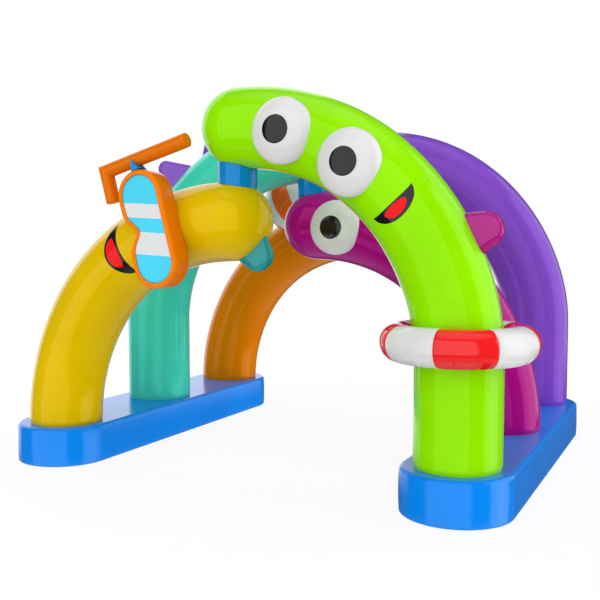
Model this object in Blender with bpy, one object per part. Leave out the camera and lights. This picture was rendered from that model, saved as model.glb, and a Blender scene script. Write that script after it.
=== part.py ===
"""Inflatable arch: three rows of bent air tubes that meet over a walkway, on two long air-filled bases.

In each row a low tube rises from one base and a high tube from the other. Their round heads lie one over the
other on a short post. Plates, domes, patches, a diving mask, a snorkel, a ring buoy and a ball are fitted to
them. The frame has +X across the walkway, +Y to the back and +Z up, with the origin on the floor, under the
middle of the whole arch's box.
"""

from math import atan2, cos, hypot, pi, radians, sin

import bmesh
import bpy
import numpy as np

# Driving dimensions, in metres
GAP = 0.0003  # between pieces that touch
TUBE_R = 0.49
SPAN = 5.554  # between the leg centres of the two bases
PITCH = 2.18  # between neighbouring rows
BASE_H = 0.507
BASE_R = 0.634  # half the width of a base, and the radius of its round ends
BASE_REACH = 2.196  # from the middle to the centre of a base's round end
BASE_TOP_EDGE = 0.05
BASE_LOW_EDGE = 0.02
POST_R = 0.24
PATCH = 0.004  # thickness of a sewn-on patch
BUOY_Z = 1.87
BUOY_R = 0.665  # from the leg's centre to the middle of the buoy's section
BUOY_SECTION = 0.205
BUOY_PANELS = 8
BUOY_FIRST = radians(-2)  # the first panel's edge, counted from the front
BALL_R = 0.52
BALL_AT = (-1.04, 1.486, 3.66)
EYE_R = 0.38
EYE_DEEP = 0.2
EYE_OUT = 0.43  # from the tube's axis to the dome's middle
PUPIL_R = 0.16
MASK_AT = (-0.817, 3.117)
MASK_TURN = radians(15.2)
MASK_OUT = 0.76  # from the tube's axis to the mask's front
MASK_DEEP = 0.3
MASK_LONG = 0.725  # half the mask's length
MASK_WIDE = 0.311  # half its width
MASK_NOTCH = 0.138
MASK_NOTCH_LONG = 0.138
MASK_RIM = 0.065
LENS_DEEP = 0.05
LENS_SUNK = 0.012
SNORKEL_R = 0.087
SNORKEL_OUT = 0.635
SNORKEL_HEIGHT = 0.865  # from the mask's middle to the long arm
SNORKEL_SIDE = 0.469  # from the mask's middle to the short arm
SNORKEL_LONG_END = 0.768
SNORKEL_SHORT_END = 0.469
FIN_THICK = 0.2
EDGE = 0.03  # rounding of a plate's edges

# How finely round shapes are divided
TUBE_SIDES = 28
BEND_STEPS = 16
HEAD_STEPS = 6
END_STEPS = 14
ROUND_SIDES = 24
BUOY_STEPS = 4
BUOY_SIDES = 16

# The origin is under the middle of the whole box, which the buoy widens to the right and the front
BUOY_REACH = BUOY_R + BUOY_SECTION
MID_X = (BASE_R - BUOY_REACH) / 2
MID_Y = (PITCH + BUOY_REACH - BASE_REACH - BASE_R) / 2

# Axis of a tube, as distances out from the arch's middle and heights: straight up to the first point,
# then one cubic curve through the four
HIGH = ((SPAN / 2, 1.734), (SPAN / 2, 2.798), (1.9, 4.332), (0.064, 4.338))
LOW = ((SPAN / 2, BASE_H + GAP), (SPAN / 2, 1.672), (1.958, 3.184), (0.06, 3.22))

WELD_SHARE = 0.5  # of the bend, where the weld between a tube's leg and its arm lies

# Colours, linear red, green and blue
COLOURS = {
    "yellow": (0.72, 0.49, 0.004),
    "teal": (0.05, 0.49, 0.36),
    "orange": (0.55, 0.16, 0.01),
    "green": (0.29, 0.78, 0.01),
    "magenta": (0.34, 0.012, 0.2),
    "purple": (0.2, 0.07, 0.5),
    "blue": (0.015, 0.2, 0.75),
    "white": (0.9, 0.9, 0.88),
    "red": (0.88, 0.012, 0.015),
    "black": (0.012, 0.012, 0.013),
    "mask_orange": (0.92, 0.2, 0.006),
    "cyan": (0.07, 0.66, 0.9),
}

# Tubes: name: (colour, side with -1 on the left, row with -1 at the front, axis)
TUBES = {
    "tube_yellow": ("yellow", -1, -1, LOW),
    "tube_green": ("green", 1, -1, HIGH),
    "tube_teal": ("teal", -1, 0, HIGH),
    "tube_magenta": ("magenta", 1, 0, LOW),
    "tube_orange": ("orange", -1, 1, LOW),
    "tube_purple": ("purple", 1, 1, HIGH),
}

# Posts between the heads of a row: name: (lower tube, upper tube)
POSTS = {
    "post_front": ("tube_yellow", "tube_green"),
    "post_middle": ("tube_magenta", "tube_teal"),
    "post_back": ("tube_orange", "tube_purple"),
}

# Eyes: name: (tube, place along x from the arch's middle, height)
EYES = {
    "eye_green_1": ("tube_green", 0.838, 4.21),
    "eye_green_2": ("tube_green", 1.66, 3.82),
    "eye_magenta": ("tube_magenta", 0.535, 3.175),
}

# Fins: name: (colour, tube, share of the bend, turn from the bend's outer side, height over the tube,
# half the width at the root, half the width at the tip, corner radius)
FINS = {
    "fin_magenta": ("magenta", "tube_green", 0.33, radians(6), 0.31, 0.24, 0.15, 0.13),
    "fin_purple_1": ("purple", "tube_teal", 0.54, radians(0), 0.47, 0.38, 0.08, 0.09),
    "fin_purple_2": ("purple", "tube_teal", 0.73, radians(0), 0.34, 0.4, 0.08, 0.09),
    "fin_teal": ("teal", "tube_yellow", 1.0, radians(140), 0.235, 0.24, 0.155, 0.11),
}

# Mouths: name: (colour, tube, share of the bend, shift to the foot, half the width, depth of the outer
# and of the inner curve, layer with 0 against the tube)
MOUTHS = {
    "mouth_yellow": ("black", "tube_yellow", 0.73, 0.02, 0.33, 0.3, 0.06, 0),
    "tongue_yellow": ("red", "tube_yellow", 0.73, 0.15, 0.2, 0.14, -0.04, 1),
    "mouth_green": ("black", "tube_green", 0.5, 0.05, 0.28, 0.22, 0.04, 0),
    "tongue_green": ("red", "tube_green", 0.5, 0.14, 0.15, 0.1, -0.03, 1),
}


def clear_scene():
    for obj in list(bpy.data.objects):
        bpy.data.objects.remove(obj, do_unlink=True)


def material(colour):
    """A glossy coated cloth of the named colour, made once."""
    made = bpy.data.materials.get(colour)
    if made is None:
        made = bpy.data.materials.new(colour)
        made.use_nodes = True
        shader = made.node_tree.nodes["Principled BSDF"]
        shader.inputs["Base Color"].default_value = (*COLOURS[colour], 1.0)
        shader.inputs["Roughness"].default_value = 0.25
        shader.inputs["Metallic"].default_value = 0.0
        made.diffuse_color = (*COLOURS[colour], 1.0)
    return made


def put(name, points, faces, colour):
    """A new object of these points and faces, faces outwards and shaded smooth."""
    mesh = bpy.data.meshes.new(name)
    mesh.from_pydata([tuple(map(float, p)) for p in points], [], faces)
    bm = bmesh.new()
    bm.from_mesh(mesh)
    bmesh.ops.recalc_face_normals(bm, faces=bm.faces)
    bm.to_mesh(mesh)
    bm.free()
    mesh.shade_smooth()
    mesh.set_sharp_from_angle(angle=radians(40))
    obj = bpy.data.objects.new(name, mesh)
    bpy.context.scene.collection.objects.link(obj)
    if colour:
        mesh.materials.append(material(colour))
    return obj


def skin(rings, pole_first=False, pole_last=False):
    """Points and faces of a closed tube of rings: an end is a flat face, or narrows to its ring's middle."""
    rings = np.asarray(rings, float)
    count, sides = rings.shape[:2]
    points = rings.reshape(-1, 3)
    faces = [
        (i * sides + j, i * sides + (j + 1) % sides, (i + 1) * sides + (j + 1) % sides, (i + 1) * sides + j)
        for i in range(count - 1)
        for j in range(sides)
    ]
    for pole, ring in ((pole_first, 0), (pole_last, count - 1)):
        around = [ring * sides + j for j in range(sides)]
        if pole is False:
            faces.append(tuple(around))
        else:
            points = np.vstack([points, pole])
            faces += [(around[j], around[(j + 1) % sides], len(points) - 1) for j in range(sides)]
    return points, faces


def as_cutter(obj):
    obj.hide_render = True
    obj.display_type = "WIRE"
    return obj


def boolean(obj, other, operation="DIFFERENCE"):
    cut = obj.modifiers.new(other.name, "BOOLEAN")
    cut.solver = "EXACT"
    cut.operation = operation
    cut.object = other


def soften(obj, width, segments=2):
    """Rounds the edges of a plate with a Bevel modifier."""
    bevel = obj.modifiers.new("soft_edge", "BEVEL")
    bevel.width = width
    bevel.segments = segments
    bevel.limit_method = "ANGLE"
    bevel.angle_limit = radians(50)


def row_y(row):
    return MID_Y + row * PITCH


def bend(axis, side, share):
    """Point and unit direction at a share of the bend, as (x from the arch's middle, height) pairs."""
    p = np.array([(side * x, z) for x, z in axis])
    back = 1 - share
    point = back**3 * p[0] + 3 * back**2 * share * p[1] + 3 * back * share**2 * p[2] + share**3 * p[3]
    way = back**2 * (p[1] - p[0]) + 2 * back * share * (p[2] - p[1]) + share**2 * (p[3] - p[2])
    return point, way / hypot(*way)


def outer_side(way, side):
    """The unit direction square to the bend, on its outer side."""
    return np.array((way[1], -way[0])) * side


def tube_rings(name, radius, first=0.0, last=1.0):
    """Rings along a tube, from one share of its bend to another: from share 0 they begin at the straight leg's
    foot, and up to share 1 they take in the round head. Also the point at the head's tip."""
    _, side, row, axis = TUBES[name]
    middle, ways = [], []
    if first == 0 and axis[0][1] > BASE_H + GAP:
        middle.append(np.array((side * axis[0][0], BASE_H + GAP)))
        ways.append(np.array((0.0, 1.0)))
    for share in np.linspace(first, last, round((last - first) * BEND_STEPS) + 1):
        point, way = bend(axis, side, share)
        middle.append(point)
        ways.append(way)
    head, way = middle[-1], ways[-1]
    if first > 0:
        middle[0] = middle[0] + ways[0] * GAP / 2
    if last < 1:
        middle[-1] = head - way * GAP / 2
    sizes = [radius] * len(middle)
    for step in range(1, HEAD_STEPS if last == 1 else 1):
        turn = step / HEAD_STEPS * pi / 2
        middle.append(head + way * radius * sin(turn))
        ways.append(way)
        sizes.append(radius * cos(turn))
    around = np.arange(TUBE_SIDES) / TUBE_SIDES * 2 * pi
    rings = []
    for point, way, size in zip(middle, ways, sizes):
        out = outer_side(way, side)
        x = MID_X + point[0] + size * np.cos(around) * out[0]
        y = row_y(row) - size * np.sin(around)
        z = point[1] + size * np.cos(around) * out[1]
        rings.append(np.stack([x, y, z], 1))
    tip = head + way * radius
    return rings, (MID_X + tip[0], row_y(row), tip[1])


def tube(name):
    """A tube's two solids: the leg up to the weld, and the arm from the weld to the round head."""
    rings, _ = tube_rings(name, TUBE_R, last=WELD_SHARE)
    put(f"{name}_leg", *skin(rings), TUBES[name][0])
    rings, tip = tube_rings(name, TUBE_R, first=WELD_SHARE)
    put(f"{name}_arm", *skin(rings, pole_last=tip), TUBES[name][0])


def stand_off(name, grow):
    """The cutter that stands off a whole tube by that much, made once."""
    cutter = f"cut_{name}_{round(grow * 1e4)}"
    made = bpy.data.objects.get(cutter)
    if made is None:
        rings, tip = tube_rings(name, TUBE_R + grow)
        made = as_cutter(put(cutter, *skin(rings, pole_last=tip), None))
    return made


def base(name, side):
    """A long base with round ends: its outline drawn in at the soft edges, over its heights."""
    edges = (
        (BASE_LOW_EDGE, 0.0),
        (0.0, BASE_LOW_EDGE),
        (0.0, BASE_H - BASE_TOP_EDGE),
        (0.3 * BASE_TOP_EDGE, BASE_H - 0.3 * BASE_TOP_EDGE),
        (BASE_TOP_EDGE, BASE_H),
    )
    half = np.linspace(0, pi, END_STEPS + 1)
    rings = []
    for inset, z in edges:
        r = BASE_R - inset
        back = np.stack([r * np.cos(half), BASE_REACH + r * np.sin(half)], 1)
        outline = np.vstack([back, -back])
        rings.append(np.column_stack([outline, np.full(len(outline), z)]))
    points, faces = skin(rings)
    points += (MID_X + side * SPAN / 2, MID_Y, 0)
    return put(name, points, faces, "blue")


def post(name, lower, upper):
    """A short round column, cut to the tubes under and over it."""
    heads = [TUBES[tube_name][3][3][1] for tube_name in (lower, upper)]
    around = np.arange(ROUND_SIDES) / ROUND_SIDES * 2 * pi
    x = MID_X + POST_R * np.cos(around)
    y = row_y(TUBES[lower][2]) + POST_R * np.sin(around)
    inside = TUBE_R / 3
    rings = [
        np.stack([x, y, np.full(ROUND_SIDES, z)], 1) for z in (heads[0] + inside, heads[1] - inside)
    ]
    obj = put(name, *skin(rings), "blue")
    for tube_name in (lower, upper):
        boolean(obj, stand_off(tube_name, GAP))


def buoy_panel(index):
    """One panel of the ring buoy: a round section, pressed flat by the leg, turned through its share."""
    share = 2 * pi / BUOY_PANELS
    trim = GAP / 2 / TUBE_R
    start = BUOY_FIRST + index * share + trim
    turns = np.linspace(start, start + share - 2 * trim, BUOY_STEPS + 1)
    round_ = np.arange(BUOY_SIDES) / BUOY_SIDES * 2 * pi
    out = BUOY_R + BUOY_SECTION * np.cos(round_)
    up = BUOY_Z + BUOY_SECTION * np.sin(round_)
    rings = [
        np.stack(
            [MID_X + SPAN / 2 + out * sin(turn), row_y(-1) - out * cos(turn), up],
            1,
        )
        for turn in turns
    ]
    name = f"buoy_{'red' if index % 2 == 0 else 'white'}_{index // 2 + 1}"
    obj = put(name, *skin(rings), "red" if index % 2 == 0 else "white")
    boolean(obj, stand_off("tube_green", GAP))


def ball():
    """A ball that is pressed flat where it sits on the back low tube."""
    across = np.arange(1, 9) / 9 * pi
    around = np.arange(ROUND_SIDES) / ROUND_SIDES * 2 * pi
    rings = [
        np.stack(
            [
                BALL_R * sin(a) * np.cos(around),
                BALL_R * sin(a) * np.sin(around),
                np.full(ROUND_SIDES, BALL_R * cos(a)),
            ],
            1,
        )
        for a in across
    ]
    points, faces = skin(rings, pole_first=(0, 0, BALL_R), pole_last=(0, 0, -BALL_R))
    points += (MID_X + BALL_AT[0], MID_Y + BALL_AT[1], BALL_AT[2])
    obj = put("ball", points, faces, "white")
    boolean(obj, stand_off("tube_orange", GAP))


def eye(name, tube_name, x, z):
    """A domed pad facing the front, cut to its tube, and the round pupil patch on its middle."""
    pupil_turn = np.arcsin(PUPIL_R / EYE_R)
    turns = np.concatenate([pupil_turn * np.array([0.5, 1.0]), np.radians([45, 66, 90, 116, 145])])
    around = np.arange(ROUND_SIDES) / ROUND_SIDES * 2 * pi
    middle = np.array((MID_X + x, row_y(TUBES[tube_name][2]) - EYE_OUT, z))

    def dome_ring(turn, lift=0.0):
        radius = EYE_R * sin(turn)
        depth = np.full(ROUND_SIDES, -EYE_DEEP * cos(turn) - lift)
        return middle + np.stack([radius * np.cos(around), depth, radius * np.sin(around)], 1)

    front = middle + (0, -EYE_DEEP, 0)
    back = middle + (0, EYE_DEEP, 0)
    obj = put(name, *skin([dome_ring(t) for t in turns], pole_first=front, pole_last=back), "white")
    boolean(obj, stand_off(tube_name, GAP))
    near, far = GAP, GAP + PATCH
    rings = [dome_ring(t, near) for t in turns[:2]] + [dome_ring(t, far) for t in turns[1::-1]]
    points, faces = skin(rings, pole_first=front - (0, near, 0), pole_last=front - (0, far, 0))
    put(name.replace("eye", "pupil"), points, faces, "black")


def rounded(corners, radius, steps=4):
    """A closed outline through the corners, each rounded by an arc of the radius."""
    corners = np.asarray(corners, float)
    outline = []
    for i, corner in enumerate(corners):
        to_last = corners[i - 1] - corner
        to_next = corners[(i + 1) % len(corners)] - corner
        to_last, to_next = to_last / hypot(*to_last), to_next / hypot(*to_next)
        half = np.arccos(np.clip(to_last @ to_next, -1, 1)) / 2
        middle = corner + (to_last + to_next) / hypot(*(to_last + to_next)) * radius / sin(half)
        start = corner + to_last * radius / np.tan(half) - middle
        end = corner + to_next * radius / np.tan(half) - middle
        first = atan2(start[1], start[0])
        sweep = (atan2(end[1], end[0]) - first + pi) % (2 * pi) - pi
        turns = first + sweep * np.linspace(0, 1, steps + 1)
        outline += list(middle + radius * np.stack([np.cos(turns), np.sin(turns)], 1))
    return np.array(outline)


def plate(name, outline, front, back, colour):
    """A flat plate: an outline in x and height, carried from its front to its back."""
    x, z = MID_X + outline[:, 0], outline[:, 1]
    rings = [np.stack([x, np.full(len(x), y), z], 1) for y in (front, back)]
    return put(name, *skin(rings), colour)


def fin(name, colour, tube_name, share, turn, height, root, tip, corner):
    """A plate in its tube's own plane, narrowing from the root inside the tube to the rounded tip."""
    _, side, row, axis = TUBES[tube_name]
    middle, way = bend(axis, side, share)
    out = outer_side(way, side)
    out = np.array((cos(turn) * out[0] + sin(turn) * out[1], cos(turn) * out[1] - sin(turn) * out[0]))
    along = np.array((-out[1], out[0]))
    low, high = TUBE_R / 2, TUBE_R + height
    spread = root + (root - tip) * (TUBE_R - low) / height
    corners = [middle + out * up + along * wide for up, wide in
               ((low, -spread), (high, -tip), (high, tip), (low, spread))]
    y = row_y(row)
    obj = plate(name, rounded(corners, corner), y - FIN_THICK / 2, y + FIN_THICK / 2, colour)
    soften(obj, EDGE)
    boolean(obj, stand_off(tube_name, GAP))


def mouth(name, colour, tube_name, share, shift, half, outer, inner, layer):
    """A crescent patch on the front of its tube: two half ellipses with the same ends, the round side
    towards the foot. It lies between two skins that stand off the tube."""
    _, side, row, axis = TUBES[tube_name]
    middle, way = bend(axis, side, share)
    across = np.array((-way[1], way[0]))
    turns = np.linspace(-pi / 2, pi / 2, 13)
    curves = [(outer, turns), (inner, turns[-2:0:-1])]
    outline = np.vstack([
        middle
        - np.outer(shift + depth * np.cos(angles), way)
        + np.outer(half * np.sin(angles), across)
        for depth, angles in curves
    ])
    y = row_y(row)
    obj = plate(name, outline, y - 1.2 * TUBE_R, y - 0.2 * TUBE_R, colour)
    start = GAP + layer * (PATCH + GAP)
    boolean(obj, stand_off(tube_name, start + PATCH), "INTERSECT")
    boolean(obj, stand_off(tube_name, start))


def mask_frame_point(down, right):
    """A place in the turned mask's own directions, as x from the arch's middle and height."""
    x = MASK_AT[0] + down * sin(MASK_TURN) + right * cos(MASK_TURN)
    z = MASK_AT[1] - down * cos(MASK_TURN) + right * sin(MASK_TURN)
    return x, z


def mask_outline(inset):
    """A long outline with round ends, and a soft notch for the nose in its left side."""
    long_, wide = MASK_LONG - inset, MASK_WIDE - inset
    half = np.linspace(0, pi, 11)
    straight = np.linspace(-1, 1, 13)[1:-1] * (long_ - wide)
    end = np.stack([long_ - wide + wide * np.sin(half), wide * np.cos(half)], 1)
    left = np.stack([straight[::-1], np.full(len(straight), -wide)], 1)
    left[:, 1] += MASK_NOTCH * np.exp(-((straight[::-1] / MASK_NOTCH_LONG) ** 2))
    outline = np.vstack([end, left, -end])
    return np.stack(mask_frame_point(outline[:, 0], outline[:, 1]), 1)


def mask():
    """The mask: a deep padded frame with a pocket in its front, and the lens in the pocket."""
    front = row_y(-1) - MASK_OUT
    frame = plate("mask_frame", mask_outline(0), front, front + MASK_DEEP, "mask_orange")
    soften(frame, EDGE)
    pocket = plate("cut_pocket", mask_outline(MASK_RIM), front - LENS_DEEP, front + LENS_DEEP, None)
    boolean(frame, as_cutter(pocket))
    boolean(frame, stand_off("tube_yellow", GAP))
    outline = mask_outline(MASK_RIM + GAP)
    plate("mask_lens", outline, front + LENS_SUNK, front + LENS_DEEP - GAP, "cyan")


def snorkel_rings(radius):
    """Rings of the snorkel: the free end, the mitred corner and the end beside the mask."""
    stops = (
        (-SNORKEL_HEIGHT, SNORKEL_LONG_END, (1, 0)),
        (-SNORKEL_HEIGHT, -SNORKEL_SIDE, (1, 1)),
        (-SNORKEL_SHORT_END, -SNORKEL_SIDE, (0, 1)),
    )
    around = np.arange(16) / 16 * 2 * pi
    rings = []
    for down, right, (lean_down, lean_right) in stops:
        x, z = mask_frame_point(
            down + lean_down * radius * np.cos(around), right + lean_right * radius * np.cos(around)
        )
        y = row_y(-1) - SNORKEL_OUT + radius * np.sin(around)
        rings.append(np.stack([MID_X + x, y, z], 1))
    return rings


def snorkel():
    """The snorkel, and the blue keeper that holds its long arm on the mask's upper edge."""
    put("snorkel", *skin(snorkel_rings(SNORKEL_R)), "mask_orange")
    corners = [mask_frame_point(*p) for p in
               ((-MASK_LONG + 0.04, 0.11), (-MASK_LONG + 0.04, -0.045), (-SNORKEL_HEIGHT - 0.01, 0.0))]
    y = row_y(-1) - SNORKEL_OUT
    keeper = plate("keeper", rounded(corners, 0.015), y - 1.3 * SNORKEL_R, y + 0.7 * SNORKEL_R, "blue")
    wider = as_cutter(put("cut_snorkel", *skin(snorkel_rings(SNORKEL_R + GAP)), None))
    front = row_y(-1) - MASK_OUT
    around = plate("cut_mask", mask_outline(-GAP), front - GAP, front + MASK_DEEP + GAP, None)
    boolean(keeper, wider)
    boolean(keeper, as_cutter(around))


def main():
    clear_scene()
    base("base_left", -1)
    base("base_right", 1)
    for name in TUBES:
        tube(name)
    for name, tubes in POSTS.items():
        post(name, *tubes)
    for index in range(BUOY_PANELS):
        buoy_panel(index)
    for name, row in EYES.items():
        eye(name, *row)
    for name, row in FINS.items():
        fin(name, *row)
    for name, row in MOUTHS.items():
        mouth(name, *row)
    mask()
    snorkel()
    ball()


main()
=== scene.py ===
"""Looks of an inflatable walk-through arch: air tubes, bases and fitted pieces in glossy coated cloth."""

from math import atan2, cos, pi, radians, sin, tan

import bpy
import numpy as np
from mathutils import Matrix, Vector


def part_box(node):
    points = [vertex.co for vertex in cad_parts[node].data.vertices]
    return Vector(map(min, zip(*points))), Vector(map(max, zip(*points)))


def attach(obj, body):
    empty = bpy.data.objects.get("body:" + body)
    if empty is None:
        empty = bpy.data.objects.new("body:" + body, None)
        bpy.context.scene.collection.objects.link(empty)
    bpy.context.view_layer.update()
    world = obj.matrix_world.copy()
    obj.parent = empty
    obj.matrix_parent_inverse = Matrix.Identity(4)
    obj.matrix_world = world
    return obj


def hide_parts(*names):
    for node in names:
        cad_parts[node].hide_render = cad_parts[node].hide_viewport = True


bl_info = {
    "name": "Inflatable arch looks",
    "version": (1, 0, 0),
    "blender": (4, 5, 0),
    "location": "View3D > Sidebar > Arch",
    "description": "Skins, patches and studio of an inflatable walk-through arch",
    "category": "Object",
}

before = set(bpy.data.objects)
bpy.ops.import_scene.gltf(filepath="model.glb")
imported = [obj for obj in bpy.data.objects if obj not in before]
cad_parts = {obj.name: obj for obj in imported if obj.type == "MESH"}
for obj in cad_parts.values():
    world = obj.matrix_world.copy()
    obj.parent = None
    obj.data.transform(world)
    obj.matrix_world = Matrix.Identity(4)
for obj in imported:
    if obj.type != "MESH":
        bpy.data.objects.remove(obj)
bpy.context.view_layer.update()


# Sizes that the frame gives
LEFT_LOW, LEFT_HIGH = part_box("base_left")
RIGHT_LOW, RIGHT_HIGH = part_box("base_right")
ROW_BOXES = [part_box(f"tube_{colour}_leg") for colour in ("green", "teal", "purple")]
FRONT_Y, MID_Y, BACK_Y = [float(low[1] + high[1]) / 2 for low, high in ROW_BOXES]
TUBE_R = float(ROW_BOXES[0][1][1] - ROW_BOXES[0][0][1]) / 2
BASE_R = float(LEFT_HIGH[0] - LEFT_LOW[0]) / 2
BASE_H = float(LEFT_HIGH[2])
BASE_REACH = float(LEFT_HIGH[1] - LEFT_LOW[1]) / 2 - BASE_R
SPAN = float(RIGHT_LOW[0] - LEFT_LOW[0])
MID_X = float(LEFT_LOW[0] + RIGHT_HIGH[0]) / 2

# Sizes of the skins, in metres, as in the solids
GAP = 0.0003
PATCH = 0.004
HIGH = ((SPAN / 2, 1.734), (SPAN / 2, 2.798), (1.9, 4.332), (0.064, 4.338))
LOW = ((SPAN / 2, BASE_H + GAP), (SPAN / 2, 1.672), (1.958, 3.184), (0.06, 3.22))
BUOY_Z = 1.87
BUOY_PANELS = 8
BUOY_FIRST = radians(-2)
BALL_AT = (-1.04, 1.486, 3.66)
BALL_POLE = (0.38, -0.045, -0.925)
BALL_SEAM = (-0.33, -0.94, -0.09)
BALL_GORES = 10
EYE_OUT = 0.43
# Turns in degrees from an eye's front pole, between which its dome meets the tube
EYE_TURNS = (60.0, 145.0)
MASK_AT = (-0.817, 3.117)
MASK_TURN = radians(15.2)
MASK_NOTCH = 0.138
MASK_NOTCH_LONG = 0.138
MASK_RIM = 0.065
MASK_FRONT = FRONT_Y - 0.76
# How far the mask's side stands out at half its depth, the bead's share of the rim, and its inner radius
MASK_CROWN = 0.004
BEAD_SHARE = 0.35
BEAD_ROUND = 0.012
LENS_DEEP = 0.05
LENS_SUNK = 0.012
LENS_CROWN = 0.006
# Bands on the lens: heights at the mask's middle, and how much they fall for each metre to the right
LENS_BANDS = ((2.811, 3.077), (3.245, 3.413))
LENS_FALL = 0.06
SNORKEL_Y = FRONT_Y - 0.635
SNORKEL_HEIGHT = 0.865
SNORKEL_SIDE = 0.469
SNORKEL_LONG_END = 0.768
SNORKEL_SHORT_END = 0.469
# The mitred corner of the snorkel starts this far past its radius, and each arm's straight part ends this
# far before its rounded end
SNORKEL_MITRE = 0.02
SNORKEL_END = 0.05
# Corners of the keeper, (down, right) in the turned mask's own directions
KEEPER_CORNERS = ((-0.705, 0.095), (-0.705, -0.038), (-0.865, -0.002))

# Tubes: name: (side with -1 on the left, y of the row, axis)
TUBES = {
    "tube_yellow": (-1, FRONT_Y, LOW),
    "tube_green": (1, FRONT_Y, HIGH),
    "tube_teal": (-1, MID_Y, HIGH),
    "tube_magenta": (1, MID_Y, LOW),
    "tube_orange": (-1, BACK_Y, LOW),
    "tube_purple": (1, BACK_Y, HIGH),
}
POSTS = {
    "post_front": ("tube_yellow", "tube_green"),
    "post_middle": ("tube_magenta", "tube_teal"),
    "post_back": ("tube_orange", "tube_purple"),
}
# Eyes: name: (tube, place along x from the arch's middle, height)
EYES = {
    "eye_green_1": ("tube_green", 0.838, 4.21),
    "eye_green_2": ("tube_green", 1.66, 3.82),
    "eye_magenta": ("tube_magenta", 0.535, 3.175),
}
# Fins: name: (slot, colour, tube, share of the bend, turn, height, half the root, half the tip, corner)
FINS = {
    "fin_magenta": ("magenta", "magenta", "tube_green", 0.33, radians(6), 0.31, 0.24, 0.15, 0.18),
    "fin_purple_1": ("purple", "purple", "tube_teal", 0.54, 0.0, 0.47, 0.38, 0.08, 0.09),
    "fin_purple_2": ("purple", "purple", "tube_teal", 0.73, 0.0, 0.34, 0.4, 0.08, 0.09),
    "fin_teal": ("teal", "fin_teal", "tube_yellow", 1.0, radians(142), 0.233, 0.222, 0.152, 0.15),
}
# Mouths: name: (slot, tube, share of the bend, shift to the foot, half the width, outer, inner, layer)
MOUTHS = {
    "mouth_yellow": ("black", "tube_yellow", 0.73, 0.02, 0.33, 0.3, 0.06, 0),
    "tongue_yellow": ("red", "tube_yellow", 0.73, 0.15, 0.2, 0.14, -0.04, 1),
    "mouth_green": ("black", "tube_green", 0.5, 0.05, 0.28, 0.22, 0.04, 0),
    "tongue_green": ("red", "tube_green", 0.5, 0.14, 0.15, 0.1, -0.03, 1),
}

# Sections of the fins: the powers that square them across and through, and the thinner stretch at the tip
FIN_POWERS = (0.66, 0.84)
FIN_SOFT = 0.13
FIN_THINNER = 0.05

# Points round each kind of section
ROUND = {
    "tube": 104, "post": 72, "buoy": 56, "ball": 160, "eye": 96, "pupil": 80, "fin": 80, "snorkel": 64,
    "floor": 96,
}
# Rings of a tube: the usual and the least distance, and the turns of the head's weld and of its last ring
RING_STEP = 0.036
RING_LEAST = 0.0015
HEAD_WELD = radians(58)
HEAD_LAST = pi / 2 - 0.03
# Points along the curve of an axis, and how often a range is halved where two shapes meet
AXIS_STEPS = 800
HALVINGS = 26
# Marks of the welds: their reach on bases and buoy, and (reach, strength) of the puckers beside them
WELD_MARK = 0.012
WELD_PUCKERS = (0.07, 0.35)
FOOT_PUCKERS = (0.09, 0.5)
BASE_PUCKERS = (0.08, 0.4)
BUOY_PUCKERS = (0.06, 0.1)
# Edges sharper than this stay sharp in the shading
SHARP = radians(50)

# Relief of the coated cloth, in metres, and the dull film near the floor
WEAVE_RELIEF = 0.000008
PUCKER_RELIEF = 0.003
SLOW_RELIEF = 0.002
FILM_HEIGHT = 0.1
FILM_COLOUR = (0.42, 0.42, 0.4, 1.0)

# Camera of the photograph: place, turn, tilt down and focal length
CAMERA_AT = (5.2212 + MID_X, -11.007 + MID_Y, 2.8936)
CAMERA_TURN = radians(26.35)
CAMERA_TILT = radians(3.59)
CAMERA_LENS = 49.89


def sized(label, text, value):
    """A length property in metres."""
    return bpy.props.FloatProperty(
        name=label, description=text, default=value, unit="LENGTH", precision=4
    )


def coloured(label, text, value):
    """A colour property."""
    return bpy.props.FloatVectorProperty(
        name=label, description=text, default=value, subtype="COLOR", size=3, min=0, max=1
    )


class ArchSizes(bpy.types.PropertyGroup):
    """Sizes of the fitted pieces and of the welds."""

    weld_pitch: sized("Weld pitch", "Length of cloth between two welds across a tube", 0.62)
    weld_depth: sized("Weld depth", "How far a weld draws the skin in", 0.0008)
    weld_width: sized("Weld width", "Half the width of a weld's groove", 0.009)
    crown: sized("Crown", "How far the cloth stands out between two welds", 0.0005)
    foot_pinch: sized("Foot pinch", "How far a tube is drawn in where it meets its base", 0.008)
    top_edge: sized("Top edge", "Radius of a base's upper edge", 0.05)
    low_edge: sized("Low edge", "Radius of a base's lower edge", 0.02)
    base_crown: sized("Base crown", "How far a base's side stands out at half its height", 0.006)
    post_radius: sized("Post radius", "Radius of the posts between the heads", 0.24)
    buoy_radius: sized("Buoy radius", "From the leg's centre to the middle of the section", 0.665)
    buoy_section: sized("Buoy section", "Radius of the ring's section", 0.205)
    ball_radius: sized("Ball radius", "Radius of the ball", 0.52)
    eye_radius: sized("Eye radius", "Radius of an eye's dome", 0.38)
    eye_depth: sized("Eye depth", "How far an eye's dome stands out from its widest part", 0.2)
    pupil_radius: sized("Pupil radius", "Radius of a pupil patch", 0.16)
    mask_length: sized("Mask length", "Half the length of the mask", 0.725)
    mask_width: sized("Mask width", "Half the width of the mask", 0.311)
    mask_depth: sized("Mask depth", "From the mask's front to its back", 0.3)
    mask_edge: sized("Mask edge", "Radius of the mask's outer edges", 0.036)
    snorkel_radius: sized("Snorkel radius", "Radius of the snorkel", 0.087)
    fin_thickness: sized("Fin thickness", "Thickness of a fin at its root", 0.2)
    weave_pitch: sized("Weave pitch", "Distance between threads under the coating", 0.003)


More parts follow.
